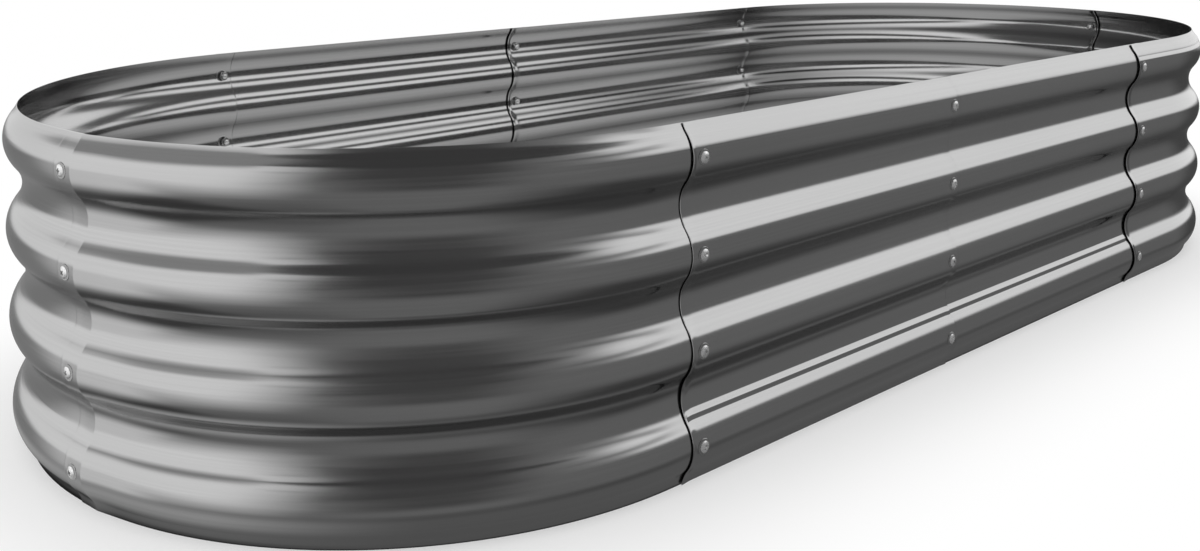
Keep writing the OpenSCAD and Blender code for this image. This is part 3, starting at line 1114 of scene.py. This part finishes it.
washer_bore = BOLT_RADIUS + WASHER_CLEARANCE
washer = turned(
    "washer",
    [
        (washer_bore, EDGE_ROUND),
        (washer_bore + EDGE_ROUND, 0),
        (WASHER_RADIUS - WASHER_UNDERCUT, 0),
        (WASHER_RADIUS - WASHER_UNDERCUT, WASHER_UNDERCUT_TOP),
        (WASHER_RADIUS, WASHER_RIM),
        (WASHER_RADIUS, WASHER_THICKNESS - EDGE_ROUND),
        (WASHER_RADIUS - EDGE_ROUND, WASHER_THICKNESS),
        (washer_bore + EDGE_ROUND, WASHER_THICKNESS),
        (washer_bore, WASHER_THICKNESS - EDGE_ROUND),
    ],
    closed=True,
)
print("washer", len(washer.data.polygons), "faces")

# %% [markdown]
# A nut starts as a six-sided bar. It is turned down at both faces, which leaves the rounded
# corners that real nuts have, and bored for the bolt.

# %% Turn down a six-sided bar
NUT_WIDTH = 10 * MM
NUT_HEIGHT = 5 * MM
NUT_CHAMFER = 0.7 * MM
CHAMFER_SLOPE = 0.6
PAST_CORNER = 0.1 * MM

nut_corner = NUT_WIDTH / 2 / math.cos(math.pi / 6)
bpy.ops.object.select_all(action="DESELECT")
bpy.ops.mesh.primitive_cylinder_add(
    vertices=6, radius=nut_corner, depth=NUT_HEIGHT, location=(0, 0, NUT_HEIGHT / 2)
)
nut = bpy.context.object
nut.name = "nut"
bpy.ops.object.transform_apply(location=True, rotation=True, scale=True)
turned_down = turned(
    "turned_down",
    [
        (0, 0),
        (nut_corner - NUT_CHAMFER, 0),
        (nut_corner + PAST_CORNER, NUT_CHAMFER * CHAMFER_SLOPE),
        (nut_corner + PAST_CORNER, NUT_HEIGHT - NUT_CHAMFER * CHAMFER_SLOPE),
        (nut_corner - NUT_CHAMFER, NUT_HEIGHT),
        (0, NUT_HEIGHT),
    ],
)
apply_modifier(nut, "BOOLEAN", operation="INTERSECT", object=turned_down, solver="EXACT")
bpy.data.objects.remove(turned_down)
print("nut", len(nut.data.polygons), "faces before its bore")

# %% Bore the nut
NUT_CLEARANCE = 0.05 * MM

nut_bore = BOLT_RADIUS + NUT_CLEARANCE
bore = turned(
    "bore",
    [
        (0, -MM),
        (nut_bore + MM + THREAD_DEPTH, -MM),
        (nut_bore, THREAD_DEPTH),
        (nut_bore, NUT_HEIGHT - THREAD_DEPTH),
        (nut_bore + MM + THREAD_DEPTH, NUT_HEIGHT + MM),
        (0, NUT_HEIGHT + MM),
    ],
)
apply_modifier(nut, "BOOLEAN", operation="DIFFERENCE", object=bore, solver="EXACT")
bpy.data.objects.remove(bore)
print("nut", len(nut.data.polygons), "faces")

# %% [markdown]
# Every seam has a bolt on each crest, with a washer under its head, a washer inside and a nut.
# Their seats are read from the construction model, as distances outwards from the crest line.
# The bolts were driven by hand, so their crosses and nuts stand at different angles. Mirrored
# rays pass through all of them, since the sheets in the picture don't show their images.

# %% Helpers for the fasteners
BOLT_TURN = math.radians(37)
SEAM_TURN = 2.1
NUT_TURN = 0.7


def seats(seam, node_name):
    """How far out a seam's parts reach: the nearest and the farthest place on the outward axis."""
    into_wall = place_on_wall(seam_at[seam]).inverted()
    out = [(into_wall @ vertex.co).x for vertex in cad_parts[node_name].data.vertices]
    return min(out), max(out)


def fitted(pattern, seam, node_name, seat, material, turned_by):
    """Copies of a part on every crest of a seam, joined into one piece."""
    copies = []
    for i, crest in enumerate(CRESTS):
        part = pattern.copy()
        part.data = pattern.data.copy()
        bpy.context.scene.collection.objects.link(part)
        part.data.transform(
            place_on_wall(seam_at[seam])
            @ Matrix.Translation((seat, 0, crest))
            @ Matrix.Rotation(math.pi / 2, 4, "Y")
            @ Matrix.Rotation(turned_by + i * BOLT_TURN, 4, "Z")
        )
        copies.append(part)
    bpy.ops.object.select_all(action="DESELECT")
    for part in copies:
        part.select_set(True)
    bpy.context.view_layer.objects.active = copies[0]
    bpy.ops.object.join()
    piece = bpy.context.object
    piece.name = "fitted_" + node_name
    bpy.ops.object.shade_smooth_by_angle(angle=SMOOTH_ANGLE)
    piece.data.materials.clear()
    piece.data.materials.append(material)
    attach(piece, "root")
    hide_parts(node_name)
    piece.visible_glossy = False


print("each bolt turned", round(math.degrees(BOLT_TURN)), "degrees further than the one above")

# %% Fit the fasteners
for number, seam in enumerate(SEAMS):
    turned_by = number * SEAM_TURN
    nut_turned_by = turned_by * NUT_TURN
    outer_seat, head_seat = seats(seam, seam + "_outer_washers")
    inner_seat, _ = seats(seam, seam + "_inner_washers")
    nut_seat = inner_seat - NUT_HEIGHT
    fitted(bolt, seam, seam + "_bolts", head_seat, bolt_steel, turned_by)
    fitted(washer, seam, seam + "_outer_washers", outer_seat, washer_steel, 0)
    fitted(washer, seam, seam + "_inner_washers", inner_seat, washer_steel, 0)
    fitted(nut, seam, seam + "_nuts", nut_seat, nut_steel, nut_turned_by)
for pattern in (bolt, washer, nut):
    bpy.data.objects.remove(pattern)
print("fasteners fitted on", len(SEAMS), "seams")
